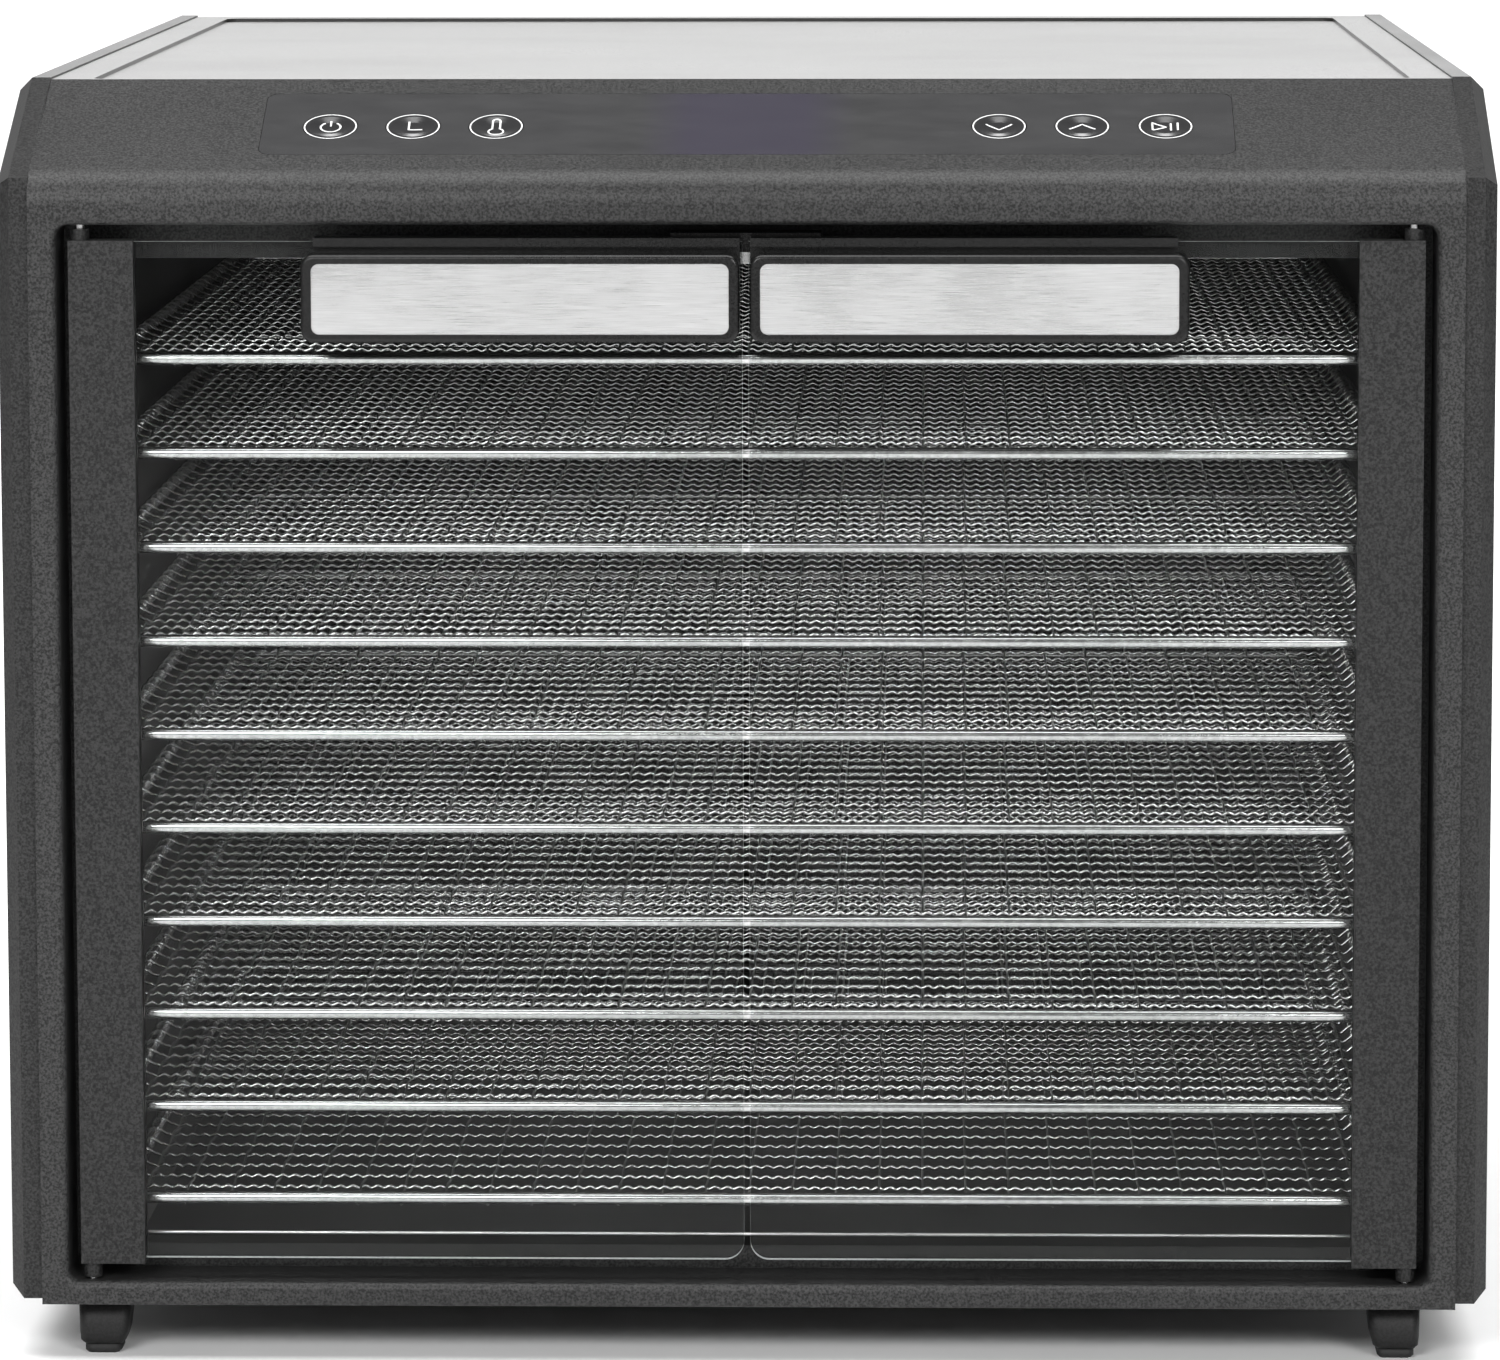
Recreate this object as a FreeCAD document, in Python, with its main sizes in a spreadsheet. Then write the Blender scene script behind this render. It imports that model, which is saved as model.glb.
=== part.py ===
import FreeCAD, Part, Sketcher

import math
import os
import re

# Food dehydrator: a cabinet with two clear side-hinged doors, ten wire trays over a drip tray, and a
# fan and heater chamber at the back.  Millimetres, +Z up, front towards -Y, +X to the right of someone
# who faces the doors.  The origin is on the floor, in the middle of the object's box.

DIMENSIONS = {
    # cabinet
    "front_width": 446.0,
    "side_thickness": 10.0,
    "side_setback": 2.0,
    "side_bevel": 4.0,
    "side_lift": 1.5,
    "side_rise": 0.6,
    "side_rib": 8.0,
    "side_hollow_drop": 20.0,
    "body_height": 383.9,
    "body_depth": 510.0,
    "foot_height": 18.0,
    "skin": 3.0,
    "sheet_metal": 0.8,
    # front frame: upright face, bend, sloping control fascia
    "slope_length": 70.0,
    "slope_angle": 23.5,
    "bend_height": 356.0,
    "bend_radius": 12.0,
    "rim_radius": 2.5,
    # recess that the doors close into
    "recess_half_width": 214.5,
    "recess_low": 7.2,
    "recess_high": 342.0,
    "recess_depth": 24.0,
    "recess_wall": 2.5,
    "recess_corner": 4.0,
    # top
    "top_border": 13.0,
    "top_front_border": 2.0,
    "top_recess": 1.2,
    "top_thickness": 4.0,
    "top_corner": 5.0,
    # drying cabin
    "cabin_half_width": 204.5,
    "cabin_low": 15.0,
    "cabin_high": 330.0,
    "liner": 0.8,
    "baffle_from_front": 440.0,
    "chamber_back": 500.0,
    "baffle_hole": 7.0,
    "baffle_hole_side": 165.0,
    "baffle_hole_up": 22.0,
    "baffle_rows": 10.0,
    "baffle_row_span": 270.0,
    "baffle_columns": 12.0,
    "probe_radius": 2.5,
    "probe_length": 14.0,
    "probe_offset": 150.0,
    # doors
    "door_front": 3.0,
    "stile_thickness": 8.0,
    "stile_inner": 190.5,
    "stile_outer": 210.8,
    "door_low": 12.5,
    "door_high": 337.0,
    "glass_front": 5.6,
    "glass_thickness": 2.4,
    "glass_outer": 203.9,
    "glass_inner": 1.0,
    "glass_inset": 1.5,
    "glass_corner": 6.0,
    "hinge_offset": 207.5,
    "pin_radius": 1.5,
    "pin_clearance": 0.08,
    "boss_radius": 3.0,
    "low_boss": 4.6,
    "high_boss": 3.5,
    "pin_seat": 9.0,
    "low_pin": 18.0,
    "high_pin": 16.0,
    # handles
    "handle_inner": 1.6,
    "handle_outer": 137.6,
    "handle_low": 305.8,
    "handle_high": 333.3,
    "handle_front": 6.0,
    "handle_corner": 4.0,
    "handle_round": 1.4,
    "handle_web": 3.5,
    "insert_width": 129.5,
    "insert_height": 22.0,
    "insert_corner": 2.5,
    "insert_thickness": 1.4,
    "insert_pocket": 2.0,
    "lip_high": 338.0,
    "hook_low": 326.0,
    "hook_front": 2.5,
    "hook_back": 9.6,
    "lip_thickness": 2.6,
    # door catch
    "catch_half_width": 23.5,
    "catch_front": 11.2,
    "catch_low": 329.0,
    "catch_high": 338.8,
    "strike_thickness": 1.0,
    "strike_length": 18.0,
    # trays
    "tray_count": 10.0,
    "tray_pitch": 29.75,
    "tray_first": 31.1,
    "tray_front": 17.0,
    "tray_depth": 404.0,
    "tray_half_width": 199.5,
    "tray_rod_radius": 2.0,
    "tray_corner": 9.0,
    "mesh_cell": 13.8,
    "mesh_row": 16.0,
    "mesh_wire_radius": 0.55,
    "long_wire_radius": 0.36,
    "mesh_gap": 0.02,
    "rail_inner": 194.5,
    "rail_thickness": 3.0,
    "rail_front": 30.0,
    "rail_length": 400.0,
    "drip_low": 15.1,
    "drip_high": 20.0,
    "drip_sheet": 0.8,
    # control panel, measured on the slope from the bend line
    "overlay_half_width": 152.5,
    "overlay_low": 17.5,
    "overlay_high": 59.5,
    "overlay_thickness": 1.2,
    "overlay_corner": 4.0,
    "overlay_gap": 0.15,
    "key_line": 36.7,
    "key_first": 79.0,
    "key_pitch": 26.1,
    "key_radius": 8.5,
    "key_gap": 0.25,
    "key_dish": 0.7,
    "key_flange": 0.7,
    "key_stem": 2.5,
    "key_travel": 0.6,
    "board_depth": 9.0,
    "board_thickness": 1.6,
    "board_half_width": 145.0,
    "board_length": 46.0,
    "display_half_width": 30.0,
    "display_length": 20.0,
    # air system
    "fan_height": 172.0,
    "fan_front": 452.0,
    "fan_radius": 90.0,
    "hub_radius": 20.0,
    "hub_length": 20.0,
    "shaft_radius": 3.0,
    "blade_width": 26.0,
    "blade_thickness": 2.0,
    "blade_pitch": 32.0,
    "blade_root": 4.0,
    "motor_radius": 36.0,
    "motor_length": 23.0,
    "bracket_front": 480.0,
    "bracket_reach": 118.0,
    "bracket_half_height": 24.0,
    "heater_radius": 108.0,
    "heater_tube": 3.2,
    "heater_front": 456.0,
    "heater_spacing": 12.0,
    "clip_front": 448.0,
    "clip_half_width": 6.0,
    "clip_thickness": 4.0,
    "vent_radius": 82.0,
    "filter_radius": 86.0,
    "filter_thickness": 1.0,
    "cover_size": 210.0,
    "cover_height": 6.0,
    "cover_corner": 14.0,
    "cover_rim": 10.0,
    "louvre_half_width": 70.0,
    "louvre_height": 5.0,
    "louvre_low": 77.0,
    "louvre_span": 144.0,
    "louvre_count": 13.0,
    "inlet_offset": 160.0,
    "inlet_height": 45.0,
    "screw_offset": 210.0,
    "screw_radius": 3.5,
    "screw_height": 2.0,
    # feet
    "foot_size": 17.0,
    "foot_offset": 204.2,
    "foot_front": 8.0,
    "foot_corner": 3.0,
    "pad_height": 3.0,
    "pad_inset": 0.8,
}

KEYS = ("key_power", "key_time", "key_temperature", "key_down", "key_up", "key_start")
BLADES = 5
X_AXIS = FreeCAD.Vector(1, 0, 0)
Y_AXIS = FreeCAD.Vector(0, 1, 0)
Z_AXIS = FreeCAD.Vector(0, 0, 1)

FRONT = "(-body_depth / 2)"
BACK = "(body_depth / 2)"
HALF_WIDTH = "(front_width / 2)"
SLOPE_RUN = "(slope_length * cos(slope_angle * 1 deg))"
TOP = "(foot_height + body_height)"
RECESS_BACK = "(-body_depth / 2 + recess_depth)"
FAN_Z = "(foot_height + fan_height)"

doc = FreeCAD.newDocument("food_dehydrator")
sheet = doc.addObject("Spreadsheet::Sheet", "Dims")
nodes = {}


# ---------------------------------------------------------------- helpers

def fill_sheet():
    """Puts every driving dimension in the sheet as a plain number with an alias."""
    for row, (alias, value) in enumerate(DIMENSIONS.items(), start=1):
        sheet.set(f"A{row}", alias)
        sheet.set(f"B{row}", str(value))
        sheet.setAlias(f"B{row}", alias)
    doc.recompute()


def dim(alias):
    """A driving dimension's value, read from the sheet."""
    return float(sheet.get(alias))


def linked(text):
    """Turns plain dimension names in an expression into links to the sheet."""
    return re.sub(r"[a-z_]+", lambda word: ("Dims." if word[0] in DIMENSIONS else "") + word[0], str(text))


def bind(obj, prop, text):
    obj.setExpression(prop, linked(text))


def place(obj, x="0", y="0", z="0"):
    for axis, text in zip("xyz", (x, y, z)):
        bind(obj, f".Placement.Base.{axis}", text)
    return obj


def turned(obj, axis, angle):
    """Gives obj a fixed rotation; its position stays bound to the sheet."""
    obj.Placement = FreeCAD.Placement(obj.Placement.Base, FreeCAD.Rotation(axis, angle))
    return obj


def block(name, x, y, z):
    """A box between pairs of expressions along each axis."""
    obj = doc.addObject("Part::Box", name)
    for size, (low, high) in zip(("Length", "Width", "Height"), (x, y, z)):
        bind(obj, size, f"({high}) - ({low})")
    return place(obj, x[0], y[0], z[0])


def rod(name, radius, length, x, y, z, axis=Z_AXIS):
    """A cylinder that starts at x, y, z and runs along axis."""
    obj = doc.addObject("Part::Cylinder", name)
    bind(obj, "Radius", radius)
    bind(obj, "Height", length)
    obj.Placement = FreeCAD.Placement(FreeCAD.Vector(), FreeCAD.Rotation(Z_AXIS, axis))
    return place(obj, x, y, z)


def cut(name, base, *tools):
    obj = doc.addObject("Part::Cut", name)
    obj.Base = base
    obj.Tool = tools[0] if len(tools) == 1 else fuse(name + "_tools", *tools)
    return obj


def fuse(name, *pieces):
    obj = doc.addObject("Part::MultiFuse", name)
    obj.Shapes = list(pieces)
    return obj


def group(name, pieces):
    """Separate solids that share one node."""
    obj = doc.addObject("Part::Compound", name)
    obj.Links = list(pieces)
    return obj


def node(label, obj):
    obj.Label = label
    nodes[label] = obj
    return obj


def on_slope(obj):
    """Lays a piece that is modelled flat on the control fascia: +Y up the slope, +Z out of it."""
    turned(obj, X_AXIS, dim("slope_angle"))
    return place(obj, "0", FRONT, "foot_height + bend_height")


def plane_of(body, role):
    return next(feature for feature in body.Origin.OriginFeatures if feature.Role == role)


def sketch_on(body, role, name, offset="0"):
    """An empty sketch on one of the body's origin planes, moved along the plane's normal."""
    sketch = body.newObject("Sketcher::SketchObject", name)
    sketch.AttachmentSupport = (plane_of(body, role), "")
    sketch.MapMode = "FlatFace"
    bind(sketch, ".AttachmentOffset.Base.z", offset)
    return sketch


def outline(sketch, points):
    """Adds a closed outline of straight sides; each corner is a pair of bound expressions."""
    first = sketch.GeometryCount
    values = [[value_of(text) for text in point] for point in points]
    count = len(points)
    for index in range(count):
        here = FreeCAD.Vector(*values[index], 0)
        there = FreeCAD.Vector(*values[(index + 1) % count], 0)
        sketch.addGeometry(Part.LineSegment(here, there))
    for index in range(count):
        this = first + index
        after = first + (index + 1) % count
        sketch.addConstraint(Sketcher.Constraint("Coincident", this, 2, after, 1))
    for index, (point, value) in enumerate(zip(points, values)):
        for kind, text, number in zip(("DistanceX", "DistanceY"), point, value):
            made = sketch.addConstraint(Sketcher.Constraint(kind, -1, 1, first + index, 1, number))
            bind(sketch, f"Constraints[{made}]", text)
    return sketch


def circle(sketch, radius, x, y):
    """Adds a circle whose radius and centre are bound expressions."""
    centre = FreeCAD.Vector(value_of(x), value_of(y), 0)
    made = sketch.addGeometry(Part.Circle(centre, Z_AXIS, value_of(radius)))
    for kind, text in (("DistanceX", x), ("DistanceY", y)):
        number = sketch.addConstraint(Sketcher.Constraint(kind, -1, 1, made, 3, value_of(text)))
        bind(sketch, f"Constraints[{number}]", text)
    number = sketch.addConstraint(Sketcher.Constraint("Radius", made, value_of(radius)))
    bind(sketch, f"Constraints[{number}]", radius)
    return sketch


def value_of(text):
    """An expression's value now, for a sketch's starting geometry."""
    names = {alias: dim(alias) for alias in DIMENSIONS if alias in str(text)}
    plain = str(text).replace(" * 1 deg", " * degree")
    names.update(cos=math.cos, sin=math.sin, tan=math.tan, degree=math.pi / 180)
    return evaluate(plain, names)


def evaluate(text, names):
    """Works out sums, products and cos/sin of named values, as the sheet's expressions do."""
    tokens = re.findall(r"[a-z_]+|[0-9.]+|[-+*/()]", text)
    position = 0

    def peek():
        return tokens[position] if position < len(tokens) else ""

    def take():
        nonlocal position
        position += 1
        return tokens[position - 1]

    def factor():
        token = take()
        if token == "-":
            return -factor()
        if token == "(":
            inside = total()
            take()
            return inside
        if token in names:
            named = names[token]
            return named(factor()) if callable(named) else named
        return float(token)

    def product():
        result = factor()
        while peek() in ("*", "/"):
            result = result * factor() if take() == "*" else result / factor()
        return result

    def total():
        result = product()
        while peek() in ("+", "-"):
            result = result + product() if take() == "+" else result - product()
        return result

    return total()


def rectangle(x, y):
    """The four corners between pairs of expressions."""
    return [(x[0], y[0]), (x[1], y[0]), (x[1], y[1]), (x[0], y[1])]


def pad(body, sketch, length, reverse=False, symmetric=False):
    feature = body.newObject("PartDesign::Pad", sketch.Name + "_pad")
    feature.Profile = sketch
    bind(feature, "Length", length)
    feature.Reversed = reverse
    feature.Midplane = symmetric
    sketch.Visibility = False
    return feature


def pocket(body, sketch, length, reverse=False):
    """A pocket that is checked to remove material."""
    doc.recompute()
    before = body.Shape.Volume
    feature = body.newObject("PartDesign::Pocket", sketch.Name + "_pocket")
    feature.Profile = sketch
    bind(feature, "Length", length)
    feature.Reversed = reverse
    sketch.Visibility = False
    doc.recompute()
    if body.Shape.Volume > before - 1e-6:
        raise RuntimeError(f"{feature.Name} removes nothing")
    return feature


def edges_of(shape, chosen):
    """Names of the edges whose middle point and direction pass a test."""
    names = []
    for number, edge in enumerate(shape.Edges, start=1):
        middle = edge.valueAt((edge.FirstParameter + edge.LastParameter) / 2)
        along = edge.tangentAt((edge.FirstParameter + edge.LastParameter) / 2)
        if chosen(middle, along):
            names.append(f"Edge{number}")
    return names


def soften(body, kind, size, chosen):
    """A fillet or chamfer on the chosen edges of the body's last feature."""
    doc.recompute()
    base = body.Tip
    feature = body.newObject("PartDesign::" + kind, f"{body.Name}_{kind}_{len(body.Group)}")
    feature.Base = (base, edges_of(base.Shape, chosen))
    bind(feature, "Radius" if kind == "Fillet" else "Size", size)
    doc.recompute()
    return feature


def new_body(name):
    return doc.addObject("PartDesign::Body", name)


def near(value, target, margin=0.01):
    return abs(value - target) < margin


# ---------------------------------------------------------------- cabinet

def front_frame():
    """One moulding: upright bezel, rounded bend, sloping fascia and the walls of the door recess."""
    body = new_body("FrontFrame")
    low = "foot_height"
    bend = "foot_height + bend_height"
    profile = sketch_on(body, "YZ_Plane", "FrontFrameProfile")
    outline(profile, [
        (FRONT, low),
        (FRONT, bend),
        (f"{FRONT} + {SLOPE_RUN}", TOP),
        (f"{FRONT} + {SLOPE_RUN}", f"{TOP} - skin"),
        (f"{FRONT} + skin", f"{bend} - skin * 0.6"),
        (f"{FRONT} + skin", low),
    ])
    pad(body, profile, "front_width", symmetric=True)
    front = value_of(FRONT)
    bend_z = value_of(bend)
    soften(body, "Fillet", "bend_radius", lambda middle, along:
           near(middle.y, front) and near(middle.z, bend_z) and abs(along.x) > 0.9)

    block_sketch = sketch_on(body, "XZ_Plane", "FrontFrameDepth", "body_depth / 2 - skin / 2")
    outline(block_sketch, rectangle((f"-{HALF_WIDTH}", HALF_WIDTH),
                                    (low, "foot_height + recess_high + recess_wall")))
    pad(body, block_sketch, "recess_depth - skin / 2", reverse=True)

    opening = sketch_on(body, "XZ_Plane", "FrontFrameOpening", "body_depth / 2 + 1")
    outline(opening, rectangle(("-recess_half_width", "recess_half_width"),
                               ("foot_height + recess_low", "foot_height + recess_high")))
    pocket(body, opening, "recess_depth + 2")

    # The hollow behind the face, between the recess walls and the outer edge.
    for name, x in (("Left", ("-front_width / 2 + recess_wall", "-recess_half_width - recess_wall")),
                    ("Right", ("recess_half_width + recess_wall", "front_width / 2 - recess_wall"))):
        hollow = sketch_on(body, "XZ_Plane", f"FrontFrame{name}Hollow", "body_depth / 2 - recess_depth")
        outline(hollow, rectangle(x, ("foot_height + recess_low", "foot_height + recess_high")))
        pocket(body, hollow, "recess_depth - skin", reverse=True)

    half = dim("recess_half_width")
    soften(body, "Fillet", "recess_corner", lambda middle, along:
           near(abs(middle.x), half) and abs(along.y) > 0.9)
    soften(body, "Fillet", "rim_radius", lambda middle, along:
           near(middle.y, front) and abs(middle.x) < half + 1 and abs(along.y) < 0.1
           and middle.z > value_of(low) + 1 and middle.z < bend_z - dim("bend_radius"))

    # Seat of the control overlay, and the holes under the keys and the display.
    seat = block("OverlaySeat", ("-overlay_half_width - overlay_gap", "overlay_half_width + overlay_gap"),
                 ("0", "overlay_high - overlay_low + 2 * overlay_gap"), ("-overlay_thickness", "2"))
    seat_round = rounded_upright("OverlaySeatRound", seat, "overlay_corner")
    along_slope(seat_round, "overlay_low - overlay_gap", "0")
    tools = [seat_round]
    for index, x in enumerate(key_places()):
        hole = rod(f"KeyHole{index}", "key_radius + key_gap + 1", "skin + 4", x, "0", "0")
        tools.append(along_slope(hole, "key_line", "-skin - 2", x))
    reach = "(display_half_width + 2)"
    window = block("DisplayHole", (f"-{reach}", reach), ("0", "display_length + 2"), ("0", "skin + 4"))
    tools.append(along_slope(window, "overlay_low + 9.5", "-skin - 2", f"-{reach}"))

    # Sockets of the hinge pins, above and below each door.
    for side in (-1, 1):
        for end, z in (("Low", "foot_height - 1"), ("High", "foot_height + recess_high - 1")):
            name = f"PinSocket{end}{side + 1}"
            tools.append(rod(name, "pin_radius + pin_clearance", "recess_low + 2",
                             f"{side} * hinge_offset", hinge_y(), z))
    return node("front_frame", cut("FrontFrameCut", body, *tools))


def along_slope(obj, up, out, x="0"):
    """Places a piece at a distance up the slope and out of it."""
    turned(obj, X_AXIS, dim("slope_angle"))
    sine = "sin(slope_angle * 1 deg)"
    cosine = "cos(slope_angle * 1 deg)"
    base_x = x if obj.TypeId != "Part::Fillet" else "0"
    y = f"{FRONT} + ({up}) * {cosine} - ({out}) * {sine}"
    z = f"foot_height + bend_height + ({up}) * {sine} + ({out}) * {cosine}"
    return place(obj, base_x, y, z)


def rounded_upright(name, base, radius):
    """Rounds a box's four upright edges."""
    doc.recompute()
    obj = doc.addObject("Part::Fillet", name)
    obj.Base = base
    size = value_of(radius)
    upright = [number for number, edge in enumerate(base.Shape.Edges, start=1)
               if abs(edge.tangentAt(edge.FirstParameter).z) > 0.9]
    obj.Edges = [(number, size, size) for number in upright]
    return obj


def key_places():
    """The keys' places across the panel, from left to right."""
    left = [f"-(key_first + {step} * key_pitch)" for step in (2, 1, 0)]
    right = [f"(key_first + {step} * key_pitch)" for step in (0, 1, 2)]
    return left + right


def hinge_y():
    return f"{FRONT} + door_front + stile_thickness / 2"


def top_panel():
    """Plate with a shallow recess inside a raised border."""
    body = new_body("TopPanel")
    plate = sketch_on(body, "XY_Plane", "TopPlate", f"{TOP} - top_thickness")
    ends = (f"{FRONT} + {SLOPE_RUN}", f"{BACK} - sheet_metal")
    outline(plate, rectangle((f"-{HALF_WIDTH}", HALF_WIDTH), ends))
    pad(body, plate, "top_thickness")
    recess = sketch_on(body, "XY_Plane", "TopRecess", TOP)
    outline(recess, rectangle((f"-{HALF_WIDTH} + top_border", f"{HALF_WIDTH} - top_border"),
                              (f"{ends[0]} + top_front_border", f"{ends[1]} - top_border")))
    pocket(body, recess, "top_recess")
    border_x = value_of(f"{HALF_WIDTH} - top_border")
    soften(body, "Fillet", "top_corner", lambda middle, along:
           near(abs(middle.x), border_x) and abs(along.z) > 0.9)
    return node("top_panel", body)


def side_panel(side):
    """Bevelled side moulding, hollow on its inner face."""
    name = "Left" if side < 0 else "Right"
    body = new_body(f"{name}Side")
    front = f"{FRONT} + side_setback"
    low = "foot_height + side_lift"
    top = f"{TOP} + side_rise"
    outer = sketch_on(body, "YZ_Plane", f"{name}SideOutline", f"{side} * {HALF_WIDTH}")
    outline(outer, [
        (front, low),
        (BACK, low),
        (BACK, top),
        (f"{FRONT} + {SLOPE_RUN}", top),
        (front, "foot_height + bend_height + side_rise"),
    ])
    pad(body, outer, "side_thickness", reverse=side < 0)
    edge_x = value_of(HALF_WIDTH) + dim("side_thickness")
    soften(body, "Chamfer", "side_bevel", lambda middle, along: near(abs(middle.x), edge_x))
    hollow = sketch_on(body, "YZ_Plane", f"{name}SideHollow", f"{side} * {HALF_WIDTH}")
    outline(hollow, rectangle((f"{front} + side_rib", f"{BACK} - side_rib"),
                              (f"{low} + side_rib", "foot_height + bend_height - side_hollow_drop")))
    pocket(body, hollow, "side_thickness - skin", reverse=side > 0)
    return node(f"{name.lower()}_side_panel", body)


def sheet_panels():
    """Base and rear sheet-metal panels."""
    between = (f"-{HALF_WIDTH}", HALF_WIDTH)
    node("base_panel", block("BasePanel", between, (RECESS_BACK, f"{BACK} - sheet_metal"),
                             ("foot_height", "foot_height + sheet_metal")))
    plate = block("RearPlate", between, (f"{BACK} - sheet_metal", BACK), ("foot_height", TOP))
    vent = rod("RearVent", "vent_radius", "sheet_metal + 2", "0", f"{BACK} - sheet_metal - 1", FAN_Z, Y_AXIS)
    socket = block("InletHole", inlet_x(14.1), (f"{BACK} - 4", f"{BACK} + 4"), inlet_z(10.1))
    node("rear_panel", cut("RearPanel", plate, vent, socket))
    node("intake_filter", rod("IntakeFilter", "filter_radius", "filter_thickness", "0",
                              f"{BACK} - sheet_metal - filter_thickness", FAN_Z, Y_AXIS))


def inlet_x(half):
    return (f"inlet_offset - {half}", f"inlet_offset + {half}")


def inlet_z(half):
    return (f"foot_height + inlet_height - {half}", f"foot_height + inlet_height + {half}")


def power_inlet():
    """Appliance inlet: a socket with three blades, open to the back."""
    shell = block("InletShell", inlet_x(14), (f"{BACK} - 22", f"{BACK}"), inlet_z(10))
    flange = block("InletFlange", inlet_x(19), (BACK, f"{BACK} + 2"), inlet_z(14))
    cavity = block("InletCavity", inlet_x(12), (f"{BACK} - 17", f"{BACK} + 3"), inlet_z(8))
    housing = cut("InletBody", fuse("InletOuter", shell, flange), cavity)
    blades = []
    for index, (x, z) in enumerate(((-7, -2), (7, -2), (0, 3))):
        blades.append(block(f"InletBlade{index}", (f"inlet_offset + {x} - 1", f"inlet_offset + {x} + 1"),
                            (f"{BACK} - 17", f"{BACK} - 5"),
                            (f"foot_height + inlet_height + {z} - 2", f"foot_height + inlet_height + {z} + 2")))
    node("power_inlet", fuse("PowerInlet", housing, *blades))


def rear_cover():
    """Raised louvred cover over the fan's air intake."""
    body = new_body("RearCover")
    half = "cover_size / 2"
    face = sketch_on(body, "XZ_Plane", "CoverFace", f"-{BACK}")
    outline(face, rectangle((f"-{half}", half), (f"{FAN_Z} - {half}", f"{FAN_Z} + {half}")))
    pad(body, face, "cover_height", reverse=True)
    half_now = value_of(half)
    soften(body, "Fillet", "cover_corner", lambda middle, along:
           near(abs(middle.x), half_now) and abs(along.y) > 0.9)
    inside = sketch_on(body, "XZ_Plane", "CoverInside", f"-{BACK}")
    inner = "(cover_size / 2 - skin - cover_rim)"
    outline(inside, rectangle((f"-{inner}", inner), (f"{FAN_Z} - {inner}", f"{FAN_Z} + {inner}")))
    pocket(body, inside, "cover_height - skin", reverse=False)
    slot = sketch_on(body, "XZ_Plane", "CoverSlot", f"-{BACK} - cover_height")
    outline(slot, rectangle(("-louvre_half_width", "louvre_half_width"),
                            (f"{FAN_Z} - louvre_low", f"{FAN_Z} - louvre_low + louvre_height")))
    first = pocket(body, slot, "skin + 1", reverse=True)
    rows = body.newObject("PartDesign::LinearPattern", "CoverSlots")
    rows.Originals = [first]
    rows.Direction = (slot, ["V_Axis"])
    bind(rows, "Length", "louvre_span")
    rows.Occurrences = int(dim("louvre_count"))
    body.Tip = rows
    return node("rear_cover", body)


# ---------------------------------------------------------------- cabin

def cabin():
    """Lining of the drying cabin, the flange that joins it to the front frame, and the air baffle."""
    along_y = (f"{RECESS_BACK} + sheet_metal", f"{FRONT} + chamber_back")
    low = "foot_height + cabin_low"
    high = "foot_height + cabin_high"
    wall = ("cabin_half_width", "cabin_half_width + liner")
    opposite = ("-cabin_half_width - liner", "-cabin_half_width")
    across = (opposite[0], wall[1])
    node("left_liner", block("LeftLiner", opposite, along_y, (low, high)))
    node("right_liner", block("RightLiner", wall, along_y, (low, high)))
    node("bottom_liner", block("BottomLiner", across, along_y, (f"{low} - liner", low)))
    node("top_liner", block("TopLiner", across, along_y, (high, f"{high} + liner")))

    reach = "recess_half_width"
    plate = block("FlangePlate", (f"-{reach}", reach), (RECESS_BACK, f"{RECESS_BACK} + sheet_metal"),
                  ("foot_height + recess_low", "foot_height + recess_high"))
    opening = block("FlangeOpening", ("-cabin_half_width", "cabin_half_width"),
                    (f"{RECESS_BACK} - 1", f"{RECESS_BACK} + 5"), (low, high))
    node("cabin_flange", cut("CabinFlange", plate, opening))

    baffle = new_body("AirBaffle")
    plate = sketch_on(baffle, "XZ_Plane", "BafflePlate", f"body_depth / 2 - baffle_from_front")
    outline(plate, rectangle(("-cabin_half_width", "cabin_half_width"), (low, high)))
    pad(baffle, plate, "sheet_metal", reverse=True)
    hole = sketch_on(baffle, "XZ_Plane", "BaffleHole", f"body_depth / 2 - baffle_from_front")
    circle(hole, "baffle_hole", "-baffle_hole_side", f"{low} + baffle_hole_up")
    first = pocket(baffle, hole, "sheet_metal + 1")
    grid = baffle.newObject("PartDesign::MultiTransform", "BaffleHoles")
    rows = baffle.newObject("PartDesign::LinearPattern", "BaffleRows")
    rows.Direction = (hole, ["V_Axis"])
    bind(rows, "Length", "baffle_row_span")
    rows.Occurrences = int(dim("baffle_rows"))
    columns = baffle.newObject("PartDesign::LinearPattern", "BaffleColumns")
    columns.Direction = (hole, ["H_Axis"])
    bind(columns, "Length", "2 * baffle_hole_side")
    columns.Occurrences = int(dim("baffle_columns"))
    grid.Originals = [first]
    grid.Transformations = [rows, columns]
    baffle.Tip = grid
    node("air_baffle", baffle)
    node("temperature_probe", rod("Probe", "probe_radius", "probe_length", "probe_offset",
                                  f"{FRONT} + baffle_from_front - probe_length",
                                  f"{high} - probe_length", Y_AXIS))


def tray_rails():
    """One support rail under each side of every tray."""
    for side, name in ((-1, "left"), (1, "right")):
        edges = ("rail_inner", "cabin_half_width") if side > 0 else ("-cabin_half_width", "-rail_inner")
        rails = []
        for index in range(int(dim("tray_count"))):
            under = f"{tray_z(index)} - tray_rod_radius - 0.05"
            rails.append(block(f"{name.title()}Rail{index + 1}", edges,
                               (f"{FRONT} + rail_front", f"{FRONT} + rail_front + rail_length"),
                               (f"{under} - rail_thickness", under)))
        node(f"{name}_tray_rails", group(f"{name.title()}Rails", rails))


def tray_z(index):
    return f"foot_height + tray_first + {index} * tray_pitch"


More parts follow.
